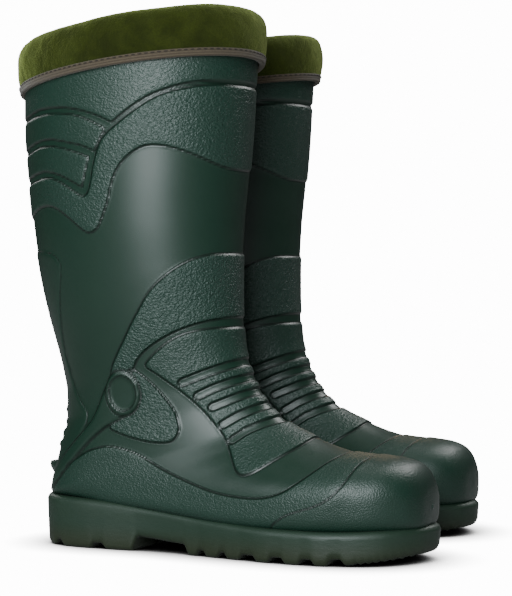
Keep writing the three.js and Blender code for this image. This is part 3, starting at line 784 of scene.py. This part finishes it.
def tube_faces(rows, columns):
    """Quads of rings of points whose last ring also joins the first."""
    faces = sheet_faces(rows + 1, columns)
    total = rows * columns
    return np.where(faces >= total, faces - total, faces)


pile, pile_in, pile_out = new_group("Cut pile", {"Size": 1.0}, ["Height", "Shade", "Patch"])


def pile_noise(per_metre, **values):
    """A noise over the piece whose scale goes with the group's size."""
    scale = sums(pile, "MULTIPLY", pile_in.outputs["Size"], per_metre)
    return node(pile, "TexNoise", Vector=place_map(pile), Scale=scale, **values).outputs["Fac"]


tuft = pile_noise(800.0, Detail=4.0, Roughness=0.75)
brushed = pile_noise(75.0, Detail=3.0, Roughness=0.6, Distortion=0.25)
lay = pile_noise(34.0, Detail=2.0, Roughness=0.5, Distortion=0.15)
feed_all(pile, pile_out, Height=tuft, Shade=fit(pile, brushed, 0.32, 0.68, soft=True),
         Patch=fit(pile, lay, 0.35, 0.65, soft=True))

PLUSH_DARK = (0.0105, 0.0145, 0.0008)
PLUSH_MID = (0.0195, 0.0265, 0.0016)
PLUSH_LIGHT = (0.050, 0.066, 0.009)
plush, tree, shader = blank("olive cut-pile plush")
fur = use_group(tree, pile, Size=1.0)
by_patch = blend_colors(tree, fur.outputs["Shade"], PLUSH_DARK, PLUSH_MID)
brushed_up = blend_colors(tree, sums(tree, "MULTIPLY", fur.outputs["Patch"], 0.28),
                          by_patch, PLUSH_LIGHT)
# darker where the pile's bump is low: painted shade in the hollows between the tufts
deep = blend_colors(tree, fit(tree, fur.outputs["Height"], 0.35, 0.6, 0.55, 0.0),
                    brushed_up, PLUSH_DARK)
mound = raise_by(tree, fur.outputs["Shade"], 0.0012, 0.4)
furry = raise_by(tree, fur.outputs["Height"], 0.0007, 0.8, mound)
feed_all(tree, shader, Base_Color=deep, Roughness=0.95, Specular_IOR_Level=0.15,
         Sheen_Weight=0.45, Sheen_Roughness=0.45, Sheen_Tint=(0.62, 0.75, 0.20), Normal=furry)

CUFF_ROWS = 66
cuff_rows = swept(closed_curve(CUFF_PROFILE, CUFF_ROWS), RIM_POINTS, soft_lumps)
for name in SIDES:
    faces = facing_out(tube_faces(CUFF_ROWS, RIM_POINTS), name == "right")
    cuff = piece(name + "_plush_cuff", to_pair(cuff_rows, name), faces, plush)
    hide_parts(name + "_liner_cuff")
    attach(cuff, name + "_liner")

# ---- CUFF BINDINGS ----------------------------------------------------------
# A taupe woven tape with three cords along it, one for each cuff. It is folded round the cuff's
# raw lower edge and sewn through, and it is what keeps the plush from fraying.
TAPE_CORDS = 3
CORD_RISE = 0.3
TAPE_STEPS = 28
TAPE_FOOT, TAPE_HEIGHT = -28.4, 5.6


def tape_profile():
    """The tape's section as (outward, up) points from the foam edge: face, back, fold."""
    outer = []
    for i in range(TAPE_STEPS + 1):
        k = i / TAPE_STEPS
        cord = CORD_RISE * abs(math.sin(math.pi * TAPE_CORDS * k)) ** 0.7
        outer.append((4.6 + 0.9 * k + cord, TAPE_FOOT + TAPE_HEIGHT * k))
    back = [(4.7, -23.0), (4.2, -24.5), (4.0, -26.2), (3.9, -27.75), (2.4, -28.0), (0.25, -27.7)]
    under = [(-0.05, -28.2), (1.0, -28.75), (2.6, -28.9), (4.2, -28.9)]
    return outer + back + under


TAPE_LIGHT = (0.125, 0.098, 0.066)
TAPE_DARK = (0.045, 0.033, 0.021)
WEFT_TURNS = 4200.0
tape, tree, shader = blank("taupe ribbed tape")
rim_line = mark_of(tree, "around")
weft = sums(tree, "SINE", sums(tree, "MULTIPLY", rim_line, WEFT_TURNS))
thread_mix = fit(tree, weft, -1, 1)
dust = node(tree, "TexNoise", Vector=place_map(tree), Scale=700.0, Detail=3.0)
weave_tone = sums(tree, "ADD", sums(tree, "MULTIPLY", thread_mix, 0.4),
                  sums(tree, "MULTIPLY", dust.outputs["Fac"], 0.55))
cord_valley_shade = mark_of(tree, "cord_valley_shade")
tape_color = blend_colors(tree, weave_tone, TAPE_DARK, TAPE_LIGHT)
# the valleys between the cords are darkened toward the tape's dark colour: painted shade
corded = blend_colors(tree, sums(tree, "MULTIPLY", cord_valley_shade, 0.85), tape_color, TAPE_DARK)
feed_all(tree, shader, Base_Color=corded, Roughness=0.85, Specular_IOR_Level=0.2,
         Sheen_Weight=0.2, Normal=raise_by(tree, thread_mix, 0.0002, 0.6))

TAPE_POINTS = 300
tape_rows = swept(tape_profile(), TAPE_POINTS)
around = np.tile(np.linspace(0, 1, TAPE_POINTS, endpoint=False), len(tape_rows))
# the cord valleys, where the tape's finish paints shade
cord_valley_shade_rows = np.zeros(len(tape_rows))
for i in range(TAPE_STEPS + 1):
    cord_valley_shade_rows[i] = 1 - abs(math.sin(math.pi * TAPE_CORDS * i / TAPE_STEPS)) ** 1.4
for name in SIDES:
    faces = facing_out(tube_faces(len(tape_rows), TAPE_POINTS), name == "left")
    band = piece(name + "_binding_tape", to_pair(tape_rows, name), faces, tape,
                 marks={"around": around, "cord_valley_shade": cord_valley_shade_rows.repeat(TAPE_POINTS)})
    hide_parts(name + "_cuff_binding")
    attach(band, name + "_liner")

# ---- BINDING STITCHES -------------------------------------------------------
# One row of lockstitch near the tape's upper edge, in dark brown twisted thread. It is sewn
# through the tape and the plush, and each stitch lies on the tape as a short round bar.
STITCH_COUNT = 112
STITCH_SHARE = 0.68
STITCH_HALF_WIDE = 0.5
STITCH_OUT, STITCH_UP = 5.6, -23.9
THREAD_DARK = (0.006, 0.0045, 0.003)
THREAD_LIGHT = (0.025, 0.018, 0.011)

thread, tree, shader = blank("dark brown thread")
twist = node(tree, "TexWave", Vector=place_map(tree), Scale=900.0, Distortion=1.0, Detail=1.0)
twisted = blend_colors(tree, twist.outputs["Fac"], THREAD_DARK, THREAD_LIGHT)
feed_all(tree, shader, Base_Color=twisted, Roughness=0.8,
         Normal=raise_by(tree, twist.outputs["Fac"], 0.0001, 0.5))

STEPS_PER_STITCH = 7
STITCH_RINGS, STITCH_SIDES = 5, 6
# each end of a stitch is closed by two quads over its six corners
STITCH_ENDS = [(0, 1, 2, 5), (2, 3, 4, 5), (24, 29, 26, 25), (26, 29, 28, 27)]
rim, rim_out = rim_frame(STITCH_COUNT * STEPS_PER_STITCH)
stitch_points, stitch_faces = [], []
for i in range(STITCH_COUNT):
    base = len(stitch_points)
    for j in range(STITCH_RINGS):
        k = (j / (STITCH_RINGS - 1) - 0.5) * 2
        at = STEPS_PER_STITCH * (i + 0.5 + k * 0.5 * STITCH_SHARE)
        low = int(at) % len(rim)
        share = at - int(at)
        here = rim[low] * (1 - share) + rim[(low + 1) % len(rim)] * share
        thick = STITCH_HALF_WIDE * math.sqrt(max(0.06, 1 - k * k))
        for turn in range(STITCH_SIDES):
            a = 2 * math.pi * turn / STITCH_SIDES
            outward_by = STITCH_OUT + thick * math.cos(a)
            up_by = STITCH_UP + thick * math.sin(a)
            stitch_points.append(here + rim_out[low] * outward_by + np.array([0, 0, up_by]))
    stitch_faces.extend(sheet_faces(STITCH_RINGS, STITCH_SIDES, base).tolist())
    stitch_faces.extend([base + corner for corner in end] for end in STITCH_ENDS)
stitch_points = np.array(stitch_points)
for name in SIDES:
    faces = facing_out(np.array(stitch_faces), name == "right")
    stitches = piece(name + "_binding_stitches", to_pair(stitch_points, name), faces, thread)
    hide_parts(name + "_binding_stitch")
    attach(stitches, name + "_liner")

# ---- LINER LEGS -------------------------------------------------------------
# The tube of each pull-out liner, in the same plush over wadding, sewn to the cuff at the top
# and to the felt foot below. Its front runs straight down, so that it lifts out past the ankle.
LEG_GAP = 7.6
LEG_THICK = 7.2
LEG_FRONT, LEG_FRONT_LEAN, LEAN_FROM = 149.5, 0.05, 225
leg_rings, _ = boot_rings(70, 60, 0.25, 8.6)
leg_normals = outward(leg_rings)
leg_outer = leg_rings - leg_normals * LEG_GAP
leg_front = LEG_FRONT + np.clip(leg_outer[:, :, 2] - LEAN_FROM, 0, 400) * LEG_FRONT_LEAN
leg_outer[:, :, 0] = np.minimum(leg_outer[:, :, 0], leg_front)
leg_inner = leg_outer - leg_normals * LEG_THICK
turn = np.linspace(0, 2 * np.pi, leg_rings.shape[1], endpoint=False)[None]
down_leg = np.linspace(0, 1, leg_rings.shape[0])[:, None]
ripple = 0.5 * np.sin(4 * turn + 5 * down_leg) + 0.35 * np.sin(7 * turn - 9 * down_leg + 1)
leg_inner = leg_inner + leg_normals * (ripple * np.sin(np.pi * down_leg))[..., None]
leg_stack = np.concatenate([leg_outer, leg_inner[::-1]])
for name in SIDES:
    faces = facing_out(tube_faces(*leg_stack.shape[:2]), name == "left")
    leg = piece(name + "_plush_leg", to_pair(leg_stack, name), faces, plush)
    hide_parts(name + "_liner_leg")
    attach(leg, name + "_liner")

# ---- LINER FEET -------------------------------------------------------------
# The foot of each liner, a bootie of needled felt closed at the toe and open at the top, where
# it is sewn to the plush leg.
FOOT_GAP = 8.4
FOOT_THICK = 4.6
FELT_DARK = (0.10, 0.11, 0.065)
FELT_LIGHT = (0.24, 0.25, 0.17)
felt, tree, shader = blank("needled felt")
fibres = use_group(tree, pile, Size=1.4)
felt_color = blend_colors(tree, fibres.outputs["Height"], FELT_DARK, FELT_LIGHT)
worn = blend_colors(tree, sums(tree, "MULTIPLY", fibres.outputs["Patch"], 0.25),
                    felt_color, FELT_DARK)
feed_all(tree, shader, Base_Color=worn, Roughness=0.95, Specular_IOR_Level=0.2,
         Normal=raise_by(tree, fibres.outputs["Height"], 0.0005, 0.7))

TOE_BULGE = 6
DOME_STEPS = np.radians((15, 30, 45, 60, 74, 85))


def domed(stack, bulge):
    """Closes the last ring with a shallow rounded end."""
    ring = stack[-1]
    centre = ring.mean(axis=0)
    ahead = np.array([bulge, 0, 0])
    ends = [centre + (ring - centre) * math.cos(a) + ahead * math.sin(a) for a in DOME_STEPS]
    return np.concatenate([stack, ends])


FOOT_FLOOR = [(-10, 45.6), (10, 44.6), (82, 43.1), (166, 39.1), (234, 38.6), (320, 41.6)]
foot_rings, _ = boot_rings(110, 44, 8.15, 21.8)
foot_normals = outward(foot_rings)
foot_outer = foot_rings - foot_normals * FOOT_GAP
foot_outer[..., 2] = np.maximum(foot_outer[..., 2], level(FOOT_FLOOR, foot_outer[..., 0]))
foot_inner = foot_outer - foot_normals * FOOT_THICK
foot_stack = np.concatenate([domed(foot_inner, TOE_BULGE)[::-1], domed(foot_outer, TOE_BULGE)])
for name in SIDES:
    faces = facing_out(sheet_faces(*foot_stack.shape[:2]), name == "left")
    caps = end_caps(*foot_stack.shape[:2])
    foot = piece(name + "_felt_foot", to_pair(foot_stack, name), faces, felt, caps)
    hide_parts(name + "_liner_foot")
    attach(foot, name + "_liner")

# ---- INNER SOLES ------------------------------------------------------------
# The liner's own felt sole, which lifts out with it, and the removable footbed of firm felt
# that stays in the boot. Both are cut flat, with rounded edges, and follow the boot's floor.
BOOT_FLOOR = [(-10, 39), (10, 38.5), (38, 41.5), (82, 38.5), (126, 34.5), (166, 31.5), (202, 30),
              (234, 30), (261, 31.5), (300, 36)]
# rows from the middle of the underside round the edge to the middle of the top: grown
# outward, drawn in toward the middle, share of the thickness
INSOLE_ROWS = [(0, 0.95, 0), (0, 0.6, 0), (0, 0.3, 0), (-1.2, 0, 0), (-0.4, 0, 0.25), (0, 0, 0.5),
               (-0.4, 0, 0.75), (-1.2, 0, 1), (0, 0.3, 1), (0, 0.6, 1), (0, 0.95, 1)]
INSOLE_POINTS = 200


def flat_sole(inset, base, thick):
    """A flat sole inside the outsole's outline, standing at a height over the boot's floor."""
    ring, normal = sole_ring(INSOLE_POINTS)
    if np.sum(normal * (ring - ring.mean(0))) < 0:
        normal = -normal
    middle_line = np.stack([np.clip(ring[:, 0], 45, 262), np.full(INSOLE_POINTS, 1.5)], -1)
    lowest = level(BOOT_FLOOR, ring[:, 0]) + base
    rows = []
    for grow, toward, share in INSOLE_ROWS:
        flat = ring - normal * (inset - grow)
        flat = flat + (middle_line - flat) * toward
        rows.append(np.column_stack([flat, lowest + thick * share]))
    return np.array(rows)


# label, the node it stands for, the body it rides on, inset, height over the floor, thickness
for label, stands_for, body, inset, base, thick in (
    ("felt_liner_sole", "_liner_sole", "_liner", 12.5, 4.4, 3.6),
    ("firm_footbed", "_footbed", "_boot", 11.0, 0.4, 3.2),
):
    insole_rows = flat_sole(inset, base, thick)
    for name in SIDES:
        faces = facing_out(sheet_faces(*insole_rows.shape[:2]), name == "left")
        caps = end_caps(*insole_rows.shape[:2])
        insole = piece(name + "_" + label, to_pair(insole_rows, name), faces, felt, caps)
        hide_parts(name + stands_for)
        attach(insole, name + body)

# ---- FLOOR, LIGHTS AND CAMERA -----------------------------------------------
# A plain pale floor under soft studio boxes, seen from the outer side of the right boot,
# a little behind it and about half way up the foot.
FLOOR_DARK = (0.34, 0.34, 0.34)
FLOOR_LIGHT = (0.36, 0.36, 0.36)
BRIGHT = 14.0
SHADOW_REACH, SHADOW_POWER = 0.04, 3.5
floor_material, tree, shader = blank("pale studio floor")
haze = node(tree, "TexNoise", Vector=place_map(tree), Scale=1.5, Detail=1.0)
hazy = blend_colors(tree, haze.outputs["Fac"], FLOOR_DARK, FLOOR_LIGHT)
feed_all(tree, shader, Base_Color=hazy, Roughness=0.9, Specular_IOR_Level=0.1)
# the camera sees the floor as an even glow, darkened round the boots by a painted contact shadow
# from ambient occlusion
open_floor = node(tree, "AmbientOcclusion", Distance=SHADOW_REACH)
outside_painted_shadow = sums(tree, "POWER", open_floor.outputs["AO"], SHADOW_POWER)
glow_with_painted_shadow = node(tree, "Emission", Strength=sums(tree, "MULTIPLY", outside_painted_shadow, BRIGHT))


def seen_as(tree, lighting, backdrop, output):
    """Sends one shader to the lighting and another to the camera's own view."""
    either = node(tree, "MixShader")
    direct = node(tree, "LightPath").outputs["Is Camera Ray"]
    for value, socket in zip((direct, lighting.outputs[0], backdrop.outputs[0]), either.inputs):
        feed(tree, value, socket)
    feed(tree, either.outputs[0], tree.nodes[output].inputs["Surface"])


seen_as(tree, shader, glow_with_painted_shadow, "Material Output")
FLOOR_POINTS = 96
FLOOR_RADII = (0.01, 0.5, 1.5, 4.0, 12.0)
turns = np.linspace(0, 2 * np.pi, FLOOR_POINTS, endpoint=False)
disc_rings = np.array([[(r * math.cos(a), r * math.sin(a), 0.0) for a in turns]
                       for r in FLOOR_RADII])
floor = piece("studio_floor", disc_rings, sheet_faces(len(FLOOR_RADII), FLOOR_POINTS),
              floor_material, [list(range(FLOOR_POINTS))])

world = bpy.data.worlds.new("pale studio")
bpy.context.scene.world = world
world.use_nodes = True
sky = world.node_tree
dim = sky.nodes["Background"]
feed_all(sky, dim, Color=(0.80, 0.82, 0.84), Strength=0.06)
bright = node(sky, "Background", Color=(1, 1, 1), Strength=BRIGHT)
seen_as(sky, dim, bright, "World Output")


def soft_box(label, at, aim, size, power, tint=(1, 1, 1)):
    """A rectangular studio light that faces a point."""
    light = bpy.data.lights.new(label, "AREA")
    light.shape = "RECTANGLE"
    light.size, light.size_y = size
    light.energy = power
    light.color = tint
    box = bpy.data.objects.new(label, light)
    box.location = at
    box.rotation_euler = (Vector(aim) - Vector(at)).to_track_quat("-Z", "Y").to_euler()
    bpy.context.scene.collection.objects.link(box)


COOL = (0.90, 0.97, 1.0)
WARM = (1.0, 0.72, 0.45)
soft_box("key box", (-1.62, -0.34, 0.57), (0, 0, 0.25), (0.7, 0.85), 31, COOL)
soft_box("high box", (-1.35, -0.30, 1.35), (0, 0, 0.15), (0.6, 0.6), 7, COOL)
soft_box("side box", (-1.45, 0.60, 1.00), (0, 0, 0.12), (0.6, 0.6), 6.5, COOL)
soft_box("overhead box", (0.0, 0.2, 1.7), (0, 0, 0.1), (1.2, 1.2), 4)
soft_box("far side box", (1.05, -0.55, 1.45), (0, 0, 0.15), (0.9, 0.9), 18)
soft_box("rear box", (0.75, 1.45, 1.35), (0, 0, 0.15), (0.9, 0.9), 12)
soft_box("edge light", (1.5, 0.5, 0.5), (0, 0, 0.28), (0.15, 0.5), 0.45, WARM)

camera_data = bpy.data.cameras.new("camera")
camera_data.sensor_fit = "HORIZONTAL"
camera_data.sensor_width = 36
camera_data.lens = 133.55
camera_data.clip_end = 60
camera = bpy.data.objects.new("camera", camera_data)
CAMERA_AT = Vector((-1.404, -0.6444, 0.2077))
YAW, PITCH = math.radians(24.51), math.radians(-0.552)
LOOK = Vector((math.cos(YAW) * math.cos(PITCH), math.sin(YAW) * math.cos(PITCH), math.sin(PITCH)))
camera.location = CAMERA_AT
camera.rotation_euler = LOOK.to_track_quat("-Z", "Y").to_euler()
bpy.context.scene.collection.objects.link(camera)
bpy.context.scene.camera = camera
